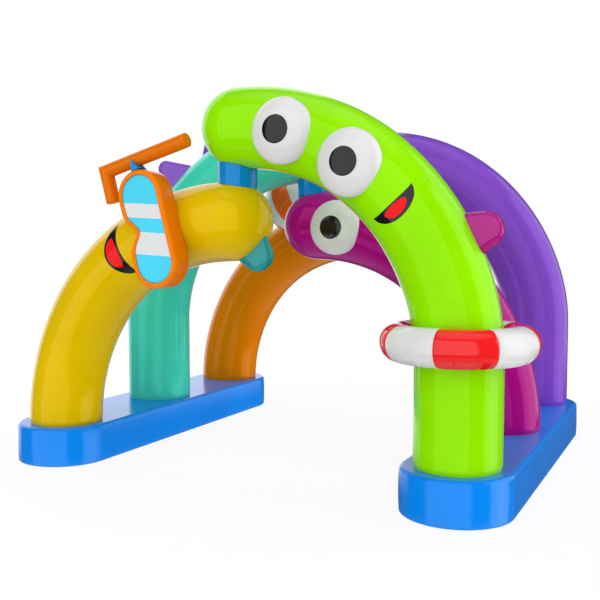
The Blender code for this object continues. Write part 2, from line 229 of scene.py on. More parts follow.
class ArchColours(bpy.types.PropertyGroup):
    """Colours of the coated cloths, linear."""

    yellow: coloured("Yellow", "Front left tube", (0.74, 0.5, 0.0))
    teal: coloured("Teal", "Middle left tube", (0.055, 0.65, 0.485))
    # The teal fin's colour is partly the fin's own bluer teal and partly painted shade: it is darker than
    # the tube's teal for the shade under the yellow head
    fin_teal: coloured("Teal fin", "Fin under the yellow head", (0.012, 0.27, 0.29))
    orange: coloured("Orange", "Back left tube", (0.79, 0.222, 0.0))
    green: coloured("Green", "Front right tube", (0.3, 0.82, 0.0))
    magenta: coloured("Magenta", "Middle right tube and its fin", (0.42, 0.004, 0.225))
    purple: coloured("Purple", "Back right tube and the tall fins", (0.215, 0.068, 0.54))
    blue: coloured("Blue", "Bases", (0.0, 0.243, 0.89))
    post_blue: coloured("Post blue", "Posts and keeper", (0.0, 0.225, 0.62))
    white: coloured("White", "Eyes, buoy and ball", (0.75, 0.75, 0.745))
    red: coloured("Red", "Buoy and tongues", (0.88, 0.012, 0.015))
    black: coloured("Black", "Pupils and mouths", (0.009, 0.009, 0.01))
    # Mask orange and snorkel orange are lit and shaded copies of one orange: the mask's is lighter, painted
    # light for its shaded side, and the snorkel's is darker, painted shade
    mask_orange: coloured("Mask orange", "Mask", (0.93, 0.215, 0.0))
    snorkel: coloured("Snorkel orange", "Snorkel", (0.76, 0.165, 0.0))
    cyan: coloured("Light blue", "Lens", (0.07, 0.66, 0.9))
    ball_red: coloured("Ball red", "Coloured gores of the ball", (1.0, 0.13, 0.0))
    floor: coloured("Floor", "Studio floor", (0.95, 0.95, 0.95))


# Shader maths
def both_ways(operation):
    """An operator of a shader socket as a Math node, and the same with its two values changed over."""
    def forward(self, other):
        return self.math(operation, self, other)

    def reflected(self, other):
        return self.math(operation, other, self)

    return forward, reflected


class Socket:
    """A shader socket that takes part in Python expressions: each operator adds a Math node."""

    def __init__(self, tree, link):
        self.tree = tree
        self.link = link

    def node(self, kind, settings=None, values=None, output=0):
        """Any other node: its type, its settings, then values or links by socket name or number."""
        made = self.tree.nodes.new(kind)
        for key, value in (settings or {}).items():
            setattr(made, key, value)
        for key, value in (values or {}).items():
            if isinstance(value, Socket):
                self.tree.links.new(value.link, made.inputs[key])
            else:
                made.inputs[key].default_value = value
        return Socket(self.tree, made.outputs[output])

    def math(self, operation, *values):
        return self.node("ShaderNodeMath", {"operation": operation}, dict(enumerate(values)))

    __add__, __radd__ = both_ways("ADD")
    __sub__, __rsub__ = both_ways("SUBTRACT")
    __mul__, __rmul__ = both_ways("MULTIPLY")
    __truediv__, __rtruediv__ = both_ways("DIVIDE")
    __gt__, __lt__ = both_ways("GREATER_THAN")

    def sine(self):
        return self.math("SINE", self)

    def fraction(self):
        return self.math("FRACT", self)

    def smooth(self, start, end, low=0.0, high=1.0):
        """A soft step from low to high while the value goes from start to end."""
        settings = {"interpolation_type": "SMOOTHSTEP"}
        values = {"Value": self, "From Min": start, "From Max": end, "To Min": low, "To Max": high}
        return self.node("ShaderNodeMapRange", settings, values)

    def mix(self, first, second):
        """A colour between two colours, with this value as the share of the second."""
        settings = {"data_type": "RGBA"}
        values = {0: self, 6: first, 7: second}
        return self.node("ShaderNodeMix", settings, values, output=2)

    def part(self, index):
        """One part of a vector: 0 is x, 1 is y and 2 is z."""
        return self.node("ShaderNodeSeparateXYZ", values={0: self}, output=index)


def rgba(colour, factor=1.0):
    """A colour with alpha, made lighter or darker by a factor."""
    return (*(min(1.0, part * factor) for part in colour), 1.0)


def new_material(name):
    """An empty node material: the material, its Principled shader and a socket to start from."""
    made = bpy.data.materials.new(name)
    made.use_nodes = True
    tree = made.node_tree
    shader = tree.nodes["Principled BSDF"]
    coordinates = tree.nodes.new("ShaderNodeTexCoord")
    return made, shader, Socket(tree, coordinates.outputs["Object"])


def coated_cloth(name, colour, roughness=0.08, gloss=0.38, tint=0.85, bands=None, dust=0.0):
    """Glossy coated cloth in one of the arch's colours: a fine weave under the coating, welds a little
    darker and duller, slow changes of tone, faint puckers by the welds and, where dust is set, a dull film
    near the floor."""
    colour = getattr(bpy.context.scene.arch_colours, colour)
    made, shader, place = new_material(name)
    flat = place.node("ShaderNodeUVMap", {"uv_map": "cloth"})
    weld = place.node("ShaderNodeAttribute", {"attribute_name": "weld"}, output="Fac")
    crease = place.node("ShaderNodeAttribute", {"attribute_name": "crease"}, output="Fac")
    slow = place.node("ShaderNodeTexNoise", values={"Vector": place, "Scale": 1.1, "Detail": 2.0})
    fine = place.node("ShaderNodeTexNoise", values={"Vector": place, "Scale": 14.0, "Detail": 4.0})
    base = slow.smooth(0.3, 0.7).mix(rgba(colour, 0.955), rgba(colour, 1.03))
    if bands:
        base = bands(place, base)
    base = (weld * 0.07).mix(base, rgba(colour, 0.6))
    rough = roughness + weld * 0.05 + fine.smooth(0.35, 0.75, -0.015, 0.03)
    if dust:
        film = place.part(2).smooth(FILM_HEIGHT, 0.0, 0.0, dust) * fine.smooth(0.3, 0.6, 0.5, 1.0)
        base = film.mix(base, FILM_COLOUR)
        rough = rough + film * 0.5
    threads = 2 * pi / bpy.context.scene.arch_sizes.weave_pitch
    weave = (flat.part(0) * threads).sine() * (flat.part(1) * threads).sine()
    stretch = place.node("ShaderNodeTexNoise", values={"Vector": flat, "Scale": 26.0, "Detail": 2.0})
    relief = weave * WEAVE_RELIEF + stretch * crease * PUCKER_RELIEF + slow * SLOW_RELIEF
    bump = place.node("ShaderNodeBump", values={"Strength": 1.0, "Distance": 1.0, "Height": relief})
    for key, value in (("Base Color", base), ("Roughness", rough), ("Normal", bump)):
        place.tree.links.new(value.link, shader.inputs[key])
    shader.inputs["IOR"].default_value = 1.5
    shader.inputs["Specular IOR Level"].default_value = gloss
    pure = rgba(colour, 1 / max(colour))
    shader.inputs["Specular Tint"].default_value = tuple(1 - tint + tint * part for part in pure)
    return made


# Meshes
def turns_round(kind):
    """Even turns round a section, from 0 to just under a whole turn."""
    return np.arange(ROUND[kind]) / ROUND[kind] * 2 * pi


def grid_quads(rows, columns):
    """Quads that join each closed ring of a grid to the next one, as four point numbers each."""
    row = np.arange(rows - 1)[:, None] * columns
    here = np.arange(columns)[None, :]
    after = (here + 1) % columns
    quads = np.stack([row + here, row + after, row + columns + after, row + columns + here], -1)
    return quads.reshape(-1, 4)


def ring_mesh(rings, first="face", last="face", weld=None, crease=None, first_at=None, last_at=None):
    """A closed skin from a grid of points: each row is a ring, and each ring is joined to the next by quads.
    An end is one flat face, or a fan to a point. The UV map holds lengths in metres round and along it.
    weld and crease are values for each row or each point, kept as attributes for the material."""
    rings = np.asarray(rings, float)
    rows, columns = rings.shape[:2]
    points = rings.reshape(-1, 3)
    around = np.linalg.norm(np.roll(rings, -1, 1) - rings, axis=2).mean(0)
    u = np.concatenate([[0], np.cumsum(around)])
    along = np.linalg.norm(np.diff(rings, axis=0), axis=2).mean(1)
    v = np.concatenate([[0], np.cumsum(along)])
    low, high = np.meshgrid(np.arange(rows - 1), np.arange(columns), indexing="ij")
    corners = [(low, high), (low, high + 1), (low + 1, high + 1), (low + 1, high)]
    faces = grid_quads(rows, columns).tolist()
    uvs = [np.stack([np.stack([u[c], v[r]], -1) for r, c in corners], 2).reshape(-1, 2)]
    values = {}
    for key, value in (("weld", weld), ("crease", crease)):
        value = np.zeros(rows) if value is None else np.asarray(value, float)
        value = value[:, None] if value.ndim == 1 else value
        values[key] = np.broadcast_to(value, (rows, columns)).reshape(-1)
    for kind, at, index, step in ((first, first_at, 0, -1), (last, last_at, rows - 1, 1)):
        order = index * columns + np.arange(columns)[::step]
        if kind == "face":
            faces.append(order.tolist())
            uvs.append(points[order][:, :2])
        else:
            points = np.vstack([points, rings[index].mean(0) if at is None else at])
            fan = np.stack([order, np.roll(order, -1), np.full(columns, len(points) - 1)], 1)
            faces += fan.tolist()
            begin = np.arange(columns)[::step] + (step < 0)
            there = np.full(columns, v[index])
            middle = np.stack([(u[begin] + u[begin + step]) / 2, there + step * 0.01], -1)
            sides = [np.stack([u[turn], there], -1) for turn in (begin, begin + step)]
            uvs.append(np.stack([*sides, middle], 1).reshape(-1, 2))
            values = {key: np.append(value, 0.0) for key, value in values.items()}
    mesh = bpy.data.meshes.new("skin")
    mesh.from_pydata(points.tolist(), [], faces)
    layer = mesh.uv_layers.new(name="cloth")
    layer.data.foreach_set("uv", np.vstack(uvs).astype(np.float32).reshape(-1))
    for key, value in values.items():
        attribute = mesh.attributes.new(key, "FLOAT", "POINT")
        attribute.data.foreach_set("value", value.astype(np.float32))
    mesh.shade_smooth()
    mesh.set_sharp_from_angle(angle=SHARP)
    if volume(points, faces) < 0:
        mesh.flip_normals()
    return mesh


def volume(points, faces):
    """The signed volume inside a closed mesh, from the fans of its faces about their first corners."""
    fans = [(face[0], face[i], face[i + 1]) for face in faces for i in range(1, len(face) - 1)]
    a, b, c = (points[np.array(fans)[:, k]] for k in range(3))
    return float((a * np.cross(b, c)).sum()) / 6


def add_piece(name, mesh, material, slot, *nodes):
    """A finished piece in the scene. It stands for the CAD node of its own name, or for the nodes named."""
    mesh.name = name
    mesh.materials.append(material)
    obj = bpy.data.objects.new(f"{name}_cloth", mesh)
    bpy.context.scene.collection.objects.link(obj)
    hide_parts(*(nodes or (name,)))
    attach(obj, "root")
    return obj


def add_padded(name, mesh, material, slot, *nodes):
    """A piece that air fills tightly."""
    add_piece(name, mesh, material, slot, *nodes)


def add_patch(name, mesh, material, slot):
    """A cloth patch that lies over the piece under it."""
    obj = add_piece(name, mesh, material, slot)


def bell(distance, width, height=1.0):
    """A smooth bump that fades out over a width."""
    return height * np.exp(-((np.asarray(distance) / width) ** 2))


# Tubes
def bend(axis, side, share):
    """Points and unit directions of a cubic curve at shares from 0 to 1, as (x, z) pairs."""
    p = np.array([(MID_X + side * x, z) for x, z in axis])
    share = np.asarray(share, float)[..., None]
    back = 1 - share
    point = back**3 * p[0] + 3 * back**2 * share * p[1] + 3 * back * share**2 * p[2] + share**3 * p[3]
    way = back**2 * (p[1] - p[0]) + 2 * back * share * (p[2] - p[1]) + share**2 * (p[3] - p[2])
    return point, way / np.linalg.norm(way, axis=-1, keepdims=True)


def axis_line(name):
    """Points, unit directions and lengths along a tube's axis from its foot to the centre of its head."""
    side, _, axis = TUBES[name]
    point, way = bend(axis, side, np.linspace(0, 1, AXIS_STEPS))
    foot = BASE_H + GAP
    if axis[0][1] > foot + GAP:
        heights = np.linspace(foot, axis[0][1], AXIS_STEPS // 4)[:-1]
        leg = np.column_stack([np.full(len(heights), point[0, 0]), heights])
        point = np.vstack([leg, point])
        way = np.vstack([np.tile((0.0, 1.0), (len(heights), 1)), way])
    length = np.concatenate([[0], np.cumsum(np.linalg.norm(np.diff(point, axis=0), axis=1))])
    return point, way, length


def axis_points(name):
    """The axis as points in space."""
    point = axis_line(name)[0]
    return np.column_stack([point[:, 0], np.full(len(point), TUBES[name][1]), point[:, 1]])


def nearest(points, name):
    """For each point the nearest point of the tube's axis, and the distance to it."""
    line = axis_points(name)
    flat = np.asarray(points, float).reshape(-1, 3)
    squared = (flat**2).sum(1)[:, None] + (line**2).sum(1)[None, :] - 2 * flat @ line.T
    index = squared.argmin(1)
    away = np.linalg.norm(flat - line[index], axis=1)
    return line[index].reshape(np.shape(points)), away.reshape(np.shape(points)[:-1])


def press(points, name):
    """Points inside a tube are moved straight out from its axis until they lie a gap over its skin."""
    centre, away = nearest(points, name)
    reach = np.maximum(away, TUBE_R + GAP) / np.maximum(away, 1e-9)
    return centre + (points - centre) * reach[..., None]


def meet(inside, outside, name):
    """Where the segments from inside points to outside points pass through a tube's skin, by halving."""
    inside, outside = np.broadcast_arrays(np.asarray(inside, float), np.asarray(outside, float))
    low = np.zeros(inside.shape[:-1])
    high = np.ones(inside.shape[:-1])
    for _ in range(HALVINGS):
        middle = (low + high) / 2
        _, away = nearest(inside + (outside - inside) * middle[..., None], name)
        within = away < TUBE_R + GAP
        low = np.where(within, middle, low)
        high = np.where(within, high, middle)
    return inside + (outside - inside) * high[..., None]


def front_of(x, z, name):
    """The y of a tube's front skin at places given by x and z: half a circle over the way to its axis."""
    y = TUBES[name][1]
    flat = np.stack([x, np.full(np.shape(x), y), z], -1)
    _, away = nearest(flat, name)
    return y - np.sqrt(np.maximum((TUBE_R + GAP) ** 2 - away**2, 0))


def tube_mesh(name, sizes):
    """A circle carried along the axis and round the head. Its radius is the tube's, less a groove at each
    weld, a low crown's drop beside the welds and the pinch at the foot."""
    side, y, _ = TUBES[name]
    point, way, length = axis_line(name)
    whole = length[-1]
    panels = round(whole / sizes.weld_pitch)
    welds = np.append(np.arange(0, panels + 1) / panels * whole, whole + TUBE_R * HEAD_WELD)
    even = np.arange(0, whole + TUBE_R * pi / 2, RING_STEP)
    offsets = np.array([0, 0.4, 0.8, 1.3, 2.0, 3.2]) * sizes.weld_width
    close = (welds[:, None] + np.concatenate([-offsets[1:], offsets])[None, :]).ravel()
    stations = np.unique(np.round(np.concatenate([even, close]), 5))
    stations = stations[(stations >= 0) & (stations < whole + TUBE_R * HEAD_LAST)]
    stations = stations[np.concatenate([[True], np.diff(stations) > RING_LEAST])]
    distance = np.abs(stations[:, None] - welds[None, :]).min(1)
    between = np.interp(stations, welds, np.arange(len(welds))) % 1
    drop = sizes.crown * (1 - 4 * between * (1 - between))
    drop += bell(distance, sizes.weld_width, sizes.weld_depth) + bell(stations, 0.03, sizes.foot_pinch)
    radius = TUBE_R - drop
    turn = np.maximum(stations - whole, 0) / TUBE_R
    base = np.minimum(stations, whole)
    x, z, way_x, way_z = (np.interp(base, length, line) for line in (*point.T, *way.T))
    x = x + way_x * radius * np.sin(turn)
    z = z + way_z * radius * np.sin(turn)
    around = turns_round("tube")
    radius = (radius * np.cos(turn))[:, None]
    across = radius * np.cos(around)
    rings = np.stack(
        [
            x[:, None] + across * (way_z * side)[:, None],
            y - radius * np.sin(around),
            z[:, None] - across * (way_x * side)[:, None],
        ],
        -1,
    )
    tip_x, tip_z = point[-1] + way[-1] * (TUBE_R - sizes.crown)
    weld = bell(distance, sizes.weld_width * 1.2)
    crease = bell(distance, *WELD_PUCKERS) + bell(stations, *FOOT_PUCKERS)
    return ring_mesh(rings, last="fan", last_at=(tip_x, y, tip_z), weld=weld, crease=crease)


class ARCH_OT_tubes(bpy.types.Operator):
    """The six bent air tubes with round heads"""

    bl_idname = "arch.tubes"
    bl_label = "Tubes"

    def execute(self, context):
        for name in TUBES:
            colour = name.removeprefix("tube_")
            material = coated_cloth(f"{colour} tube cloth", colour)
            mesh = tube_mesh(name, context.scene.arch_sizes)
            add_padded(name, mesh, material, colour, f"{name}_leg", f"{name}_arm")
        return {"FINISHED"}


# Bases and posts
def stadium(inset, ends=56, side=60):
    """An outline of two half circles joined by straight sides, drawn in by an inset, around its centre."""
    radius = BASE_R - inset
    half = np.linspace(0, pi, ends + 1)
    back = np.stack([radius * np.cos(half), BASE_REACH + radius * np.sin(half)], 1)
    edge = np.linspace(BASE_REACH, -BASE_REACH, side + 1)[1:-1]
    left = np.stack([np.full(len(edge), -radius), edge], 1)
    return np.vstack([back, left, -back, -left])


def base_mesh(side, sizes):
    """The outline carried up a profile: flat underside, small lower edge, a side that stands out a little at
    half its height, round upper edge and flat top, with a weld along both edges."""
    low, top = sizes.low_edge, sizes.top_edge
    quarter = np.linspace(0, pi / 2, 7)
    lower = [(low * (1 - sin(q)), low * (1 - cos(q))) for q in quarter]
    upper = [(top * (1 - cos(q)), BASE_H - top * (1 - sin(q))) for q in quarter]
    heights = np.linspace(low, BASE_H - top, 17)[1:-1]
    rise = (heights - low) / (BASE_H - top - low)
    middle = [(-sizes.base_crown * sin(pi * r), h) for r, h in zip(rise, heights)]
    last = BASE_R - 0.03
    under = [(inset, 0.0) for inset in (last, 0.4, 0.2, 0.06)]
    over = [(inset, BASE_H) for inset in (top + 0.004, 0.1, 0.25, 0.42, last)]
    profile = np.array(under + lower + middle + upper + over)
    line = np.concatenate([[0], np.cumsum(np.hypot(*np.diff(profile, axis=0).T))])
    top_weld = line[-len(over) - 1]
    low_weld = line[len(under) + len(lower) - 1]
    weld = np.maximum(bell(line - top_weld, WELD_MARK), bell(line - low_weld, WELD_MARK, 0.7))
    outlines = np.array([stadium(inset) for inset, _ in profile])
    heights = np.broadcast_to(profile[:, 1][:, None, None], (*outlines.shape[:2], 1))
    rings = np.concatenate([outlines, heights], 2) + (MID_X + side * SPAN / 2, MID_Y, 0)
    return ring_mesh(rings, weld=weld, crease=bell(line - top_weld, *BASE_PUCKERS))


def post_mesh(lower, upper, sizes):
    """A round column: circles from the skin of the lower tube to that of the upper one, whose ends shrink to
    a point along those skins."""
    y = TUBES[lower][1]
    heads = {tube: axis_line(tube)[0][-1, 1] for tube in (lower, upper)}
    around = turns_round("post")

    def on_skin(tube, share=1.0):
        """A circle of a share of the post's radius, carried from inside a head to its skin."""
        spot = sizes.post_radius * share
        flat = (MID_X + spot * np.cos(around), y + spot * np.sin(around))
        levels = (heads[tube], sum(heads.values()) / 2)
        inside, outside = (np.stack([*flat, np.full(len(around), z)], 1) for z in levels)
        return meet(inside, outside, tube)

    shrink = (0.05, 0.3, 0.55, 0.78, 0.93, 0.985)
    bottoms = [on_skin(lower, share) for share in shrink]
    tops = [on_skin(upper, share) for share in shrink[::-1]]
    start, end = on_skin(lower), on_skin(upper)
    shares = np.concatenate([[0.02, 0.05], np.linspace(0.1, 0.9, 15), [0.95, 0.98]])
    rings = bottoms + [start + (end - start) * share for share in shares] + tops
    weld = np.zeros(len(rings))
    weld[len(bottoms) - 1:len(bottoms) + 1] = 1
    weld[-len(tops) - 1:-len(tops) + 1] = 1
    return ring_mesh(rings, first="fan", last="fan", weld=weld)


class ARCH_OT_bases(bpy.types.Operator):
    """The two long bases"""

    bl_idname = "arch.bases"
    bl_label = "Bases"

    def execute(self, context):
        material = coated_cloth("blue base cloth", "blue", roughness=0.17, gloss=0.6, tint=0.65, dust=0.05)
        for name, side in (("base_left", -1), ("base_right", 1)):
            add_padded(name, base_mesh(side, context.scene.arch_sizes), material, "blue")
        return {"FINISHED"}


class ARCH_OT_posts(bpy.types.Operator):
    """The short posts between the heads of each row"""

    bl_idname = "arch.posts"
    bl_label = "Posts"

    def execute(self, context):
        material = coated_cloth("blue post cloth", "post_blue", gloss=0.55, tint=0.65)
        for name, (lower, upper) in POSTS.items():
            add_padded(name, post_mesh(lower, upper, context.scene.arch_sizes), material, "blue")
        return {"FINISHED"}


# Ring buoy and ball
def buoy_mesh(index, sizes):
    """A circle carried round the leg through one panel's share of the ring, a little smaller at both ends,
    and pressed flat by the leg."""
    share = 2 * pi / BUOY_PANELS
    trim = GAP / 2 / TUBE_R
    length = (share - 2 * trim) * sizes.buoy_radius
    along = np.concatenate([[0, 0.003, 0.008, 0.016, 0.03], np.linspace(0.05, length - 0.05, 20)])
    along = np.unique(np.concatenate([along, length - along]))
    turn = (BUOY_FIRST + index * share + trim + along / sizes.buoy_radius)[:, None]
    end = np.minimum(along, length - along)
    section = (sizes.buoy_section - bell(end, 0.008, 0.005))[:, None]
    around = turns_round("buoy")
    out = sizes.buoy_radius + section * np.cos(around)
    x = MID_X + SPAN / 2 + out * np.sin(turn)
    rings = np.stack([x, FRONT_Y - out * np.cos(turn), BUOY_Z + section * np.sin(around)], -1)
    return ring_mesh(press(rings, "tube_green"), weld=bell(end, WELD_MARK), crease=bell(end, *BUOY_PUCKERS))


def ball_frame():
    """The ball's centre, its pole, the direction of its first seam and the direction square to both."""
    centre = np.array((MID_X + BALL_AT[0], MID_Y + BALL_AT[1], BALL_AT[2]))
    pole = np.array(BALL_POLE) / np.linalg.norm(BALL_POLE)
    other = np.cross(pole, BALL_SEAM)
    other /= np.linalg.norm(other)
    return centre, pole, np.cross(other, pole), other


def ball_mesh(sizes):
    """A sphere of gores: the radius drops at each gore's edge, and the side on the tube is pressed flat."""
    centre, pole, side, other = ball_frame()
    turn = np.linspace(0.02, pi - 0.02, 70)[:, None]
    around = turns_round("ball")[None, :]
    gore = around / (2 * pi) * BALL_GORES
    edge = np.abs(gore - np.round(gore)) * 2 * pi / BALL_GORES * np.sin(turn) * sizes.ball_radius
    radius = sizes.ball_radius - bell(edge, 0.012, 0.003)
    spot = radius * np.sin(turn)
    parts = ((radius * np.cos(turn), pole), (spot * np.cos(around), side), (spot * np.sin(around), other))
    rings = press(centre + sum(far[..., None] * way for far, way in parts), "tube_orange")
    return ring_mesh(rings, first="fan", last="fan", weld=bell(edge, 0.01, 0.8))


def gores(colour):
    """Every other gore in this colour, by the number of the gore that each face lies in."""
    def paint(place, base):
        number = place.node("ShaderNodeAttribute", {"attribute_name": "gore"}, output="Fac")
        return ((number / 2).fraction() > 0.25).mix(base, rgba(colour))
    return paint


def paint_gores(mesh):
    """Each face gets the number of the gore that it lies in, from its turn round the pole."""
    centres = np.empty(len(mesh.polygons) * 3)
    mesh.polygons.foreach_get("center", centres)
    centre, _, side, other = ball_frame()
    away = centres.reshape(-1, 3) - centre
    turn = np.arctan2(away @ other, away @ side) % (2 * pi)
    attribute = mesh.attributes.new("gore", "FLOAT", "FACE")
    attribute.data.foreach_set("value", np.floor(turn / (2 * pi) * BALL_GORES).astype(np.float32))


class ARCH_OT_buoy(bpy.types.Operator):
    """The ring buoy in eight panels round the front right leg"""

    bl_idname = "arch.buoy"
    bl_label = "Ring buoy"

    def execute(self, context):
        red = coated_cloth("red buoy cloth", "red", gloss=0.5, tint=0.3)
        white = coated_cloth("white buoy cloth", "white")
        for index in range(BUOY_PANELS):
            colour, material = (("red", red), ("white", white))[index % 2]
            name = f"buoy_{colour}_{index // 2 + 1}"
            add_padded(name, buoy_mesh(index, context.scene.arch_sizes), material, colour)
        return {"FINISHED"}


class ARCH_OT_ball(bpy.types.Operator):
    """The ball on the back left tube"""

    bl_idname = "arch.ball"
    bl_label = "Ball"

    def execute(self, context):
        scene = context.scene
        material = coated_cloth("ball cloth", "white", bands=gores(scene.arch_colours.ball_red))
        mesh = ball_mesh(scene.arch_sizes)
        paint_gores(mesh)
        add_padded("ball", mesh, material, "white")
        return {"FINISHED"}


# Eyes
def dome(tube, place, turn, around, sizes, lift=0.0):
    """Points of a flattened ball, by the turn from its front pole and the turn round it: eye_radius times
    the sine to the side, and eye_depth times the cosine, and a lift, to the front."""
    x, z = place
    spot = sizes.eye_radius * np.sin(turn)
    depth = EYE_OUT + (sizes.eye_depth * np.cos(turn) + lift) * np.ones(len(around))
    parts = [MID_X + x + spot * np.cos(around), TUBES[tube][1] - depth, z + spot * np.sin(around)]
    return np.stack(parts, -1)


def eye_mesh(tube, place, sizes):
    """The dome out to the line where it meets the tube, then back along the tube's skin."""
    around = turns_round("eye")
    low, high = (np.full(len(around), radians(turn)) for turn in EYE_TURNS)
    for _ in range(HALVINGS):
        turn = (low + high) / 2
        outside = nearest(dome(tube, place, turn, around, sizes), tube)[1] > TUBE_R + GAP
        low = np.where(outside, turn, low)
        high = np.where(outside, high, turn)
    shares = np.concatenate([np.linspace(0.03, 0.9, 30), [0.94, 0.97, 0.985, 1.0]])
    front = dome(tube, place, shares[:, None] * low, around, sizes)
    tip = dome(tube, place, np.zeros(1), np.zeros(1), sizes)[0]
    back = []
    for share in (0.96, 0.85, 0.6, 0.35, 0.1):
        x, _, z = (tip + (front[-1] - tip) * share).T
        back.append(np.stack([x, front_of(x, z, tube), z], -1))
    weld = np.zeros(len(front) + len(back))
    weld[len(front) - 2:len(front) + 1] = (0.5, 0.8, 1.0)
    return ring_mesh([*front, *back], first="fan", last="fan", weld=weld, first_at=tip)


def pupil_mesh(tube, place, sizes):
    """A round patch on the dome: the dome's own curve lifted by the patch's thickness, its edge rounded."""
    whole = np.arcsin(sizes.pupil_radius / sizes.eye_radius)
    shares = np.array([0.06, 0.3, 0.55, 0.78, 0.92, 0.975, 1.0])
    lifts = np.array([1, 1, 1, 1, 1, 0.85, 0.5]) * PATCH + GAP
    steps = [(s, GAP) for s in shares[:-1]] + list(zip(shares[::-1], lifts[::-1]))
    around = turns_round("pupil")
    rings = [dome(tube, place, whole * share, around, sizes, lift) for share, lift in steps]
    return ring_mesh(rings, first="fan", last="fan")


class ARCH_OT_eyes(bpy.types.Operator):
    """The dome eyes and their round pupil patches"""

    bl_idname = "arch.eyes"
    bl_label = "Eyes"

    def execute(self, context):
        sizes = context.scene.arch_sizes
        white = coated_cloth("white eye cloth", "white")
        black = coated_cloth("black pupil cloth", "black")
        for name, (tube, *place) in EYES.items():
            add_padded(name, eye_mesh(tube, place, sizes), white, "white")
            pupil = name.replace("eye", "pupil")
            add_patch(pupil, pupil_mesh(tube, place, sizes), black, "black")
        return {"FINISHED"}


# Fins
def squared(wave, power):
    """A sine or cosine with its sign kept and its size raised to a power, which squares a round section."""
    return np.sign(wave) * np.abs(wave) ** power


def fin_mesh(tube, share, turn, height, root, tip, corner, sizes):
    """Soft-cornered sections stacked from the tube's skin to the tip. Their width narrows along straight
    sides, then follows an arc that meets the sides and the flat tip, and the thickness rounds off over the
    last stretch. Hidden rings close the root along the tube's skin."""
    side, y, axis = TUBES[tube]
    middle, way = bend(axis, side, share)
    out = np.array((way[1], -way[0])) * side
    out = np.array((cos(turn) * out[0] + sin(turn) * out[1], cos(turn) * out[1] - sin(turn) * out[0]))
    along = np.array((-out[1], out[0]))
    low, high = TUBE_R / 2, TUBE_R + height
    lean = atan2(root - tip, height)
    level_half = tip - corner / tan(pi / 4 + lean / 2)
    around = turns_round("fin")
    wide = squared(np.cos(around), FIN_POWERS[0])
    thick = squared(np.sin(around), FIN_POWERS[1])

    def section(level, half, scale=1.0):
        soft = max(0.0, level - (high - FIN_SOFT)) / FIN_SOFT
        half_thick = sizes.fin_thickness / 2 - FIN_THINNER * (1 - np.sqrt(max(0.0, 1 - soft**2)))
        x, z = (middle + out * level + np.outer(wide * half * scale, along)).T
        return np.stack([x, y + thick * half_thick * scale, z], -1)

    turns = np.linspace(lean, pi / 2, 14)
    crown = [section(high - corner * (1 - sin(t)), level_half + corner * cos(t)) for t in turns]
    cap = [section(high, level_half, s) for s in (0.85, 0.6, 0.3)]
    start = meet(section(low, root + (root - tip) * (TUBE_R - low) / height), crown[0], tube)
    body = [start + (crown[0] - start) * s for s in (0.0, 0.04, 0.1, 0.25, 0.45, 0.65, 0.85)]
    under = []
    for shrink in (0.15, 0.5, 0.8, 0.95):
        spot = start.mean(0) + (start - start.mean(0)) * shrink
        away = spot - nearest(spot, tube)[0]
        under.append(meet(spot - away / 2, spot + away, tube))
    rings = under + body + crown + cap
    weld = np.zeros(len(rings))
    weld[len(under) - 1:len(under) + 2] = (0.8, 1.0, 0.4)
    return ring_mesh(rings, first="fan", last="fan", weld=weld)


class ARCH_OT_fins(bpy.types.Operator):
    """The fins on the tubes"""

    bl_idname = "arch.fins"
    bl_label = "Fins"

    def execute(self, context):
        for name, (slot, colour, *shape) in FINS.items():
            material = coated_cloth(f"{name} cloth", colour, gloss=0.46, tint=0.3)
            add_padded(name, fin_mesh(*shape, context.scene.arch_sizes), material, slot)
        return {"FINISHED"}


# Mouths
def mouth_mesh(tube, share, shift, half, outer, inner, layer):
    """A crescent between two half ellipses with the same ends, carried from end to end as a thin section
    that lies on the tube's skin."""
    side, y, axis = TUBES[tube]
    middle, way = bend(axis, side, share)
    across = np.array((-way[1], way[0]))
    turns = np.linspace(-pi / 2 + 0.05, pi / 2 - 0.05, 56)[:, None]
    shares = np.concatenate([[0, 0.02, 0.06], np.linspace(0.12, 0.88, 12), [0.94, 0.98, 1]])
    edge = np.minimum(shares, 1 - shares)
    start = GAP + layer * (PATCH + GAP)
    top = start + PATCH * (0.45 + 0.55 * np.minimum(edge / 0.05, 1) ** 0.5)
    reach = TUBE_R + np.concatenate([top, np.full(len(shares), start)])
    down = shift + (inner + (outer - inner) * np.concatenate([shares, shares[::-1]])) * np.cos(turns)
    x, z = (middle - down[..., None] * way + (half * np.sin(turns))[..., None] * across).transpose(2, 0, 1)
    _, away = nearest(np.stack([x, np.full(x.shape, y), z], -1), tube)
    return ring_mesh(np.stack([x, y - np.sqrt(np.maximum(reach**2 - away**2, 1e-6)), z], -1))


class ARCH_OT_mouths(bpy.types.Operator):
    """The crescent mouth patches and the tongues on them"""

    bl_idname = "arch.mouths"
    bl_label = "Mouths"

    def execute(self, context):
        for name, (slot, *shape) in MOUTHS.items():
            material = coated_cloth(f"{name} cloth", slot)
            add_patch(name, mouth_mesh(*shape), material, slot)
        return {"FINISHED"}


# Mask and snorkel
def mask_place(down, right):
    """x and z of a place in the turned mask's own directions."""
    x = MID_X + MASK_AT[0] + down * sin(MASK_TURN) + right * cos(MASK_TURN)
    z = MASK_AT[1] - down * cos(MASK_TURN) + right * sin(MASK_TURN)
    return x, z


def mask_outline(inset, sizes, ends=44, side=40):
    """A long outline with round ends, (down, right) pairs, with a soft notch in its left side."""
    long_, wide = sizes.mask_length - inset, sizes.mask_width - inset
    half = np.linspace(0, pi, ends + 1)
    straight = np.linspace(-1, 1, side + 1)[1:-1] * (long_ - wide)
    end = np.stack([long_ - wide + wide * np.sin(half), wide * np.cos(half)], 1)
    notch = MASK_NOTCH * np.exp(-((straight / MASK_NOTCH_LONG) ** 2))
    left = np.stack([straight[::-1], -wide + notch[::-1]], 1)
    right = np.stack([straight, np.full(len(straight), wide)], 1)
    return np.vstack([end, left, -end, right])


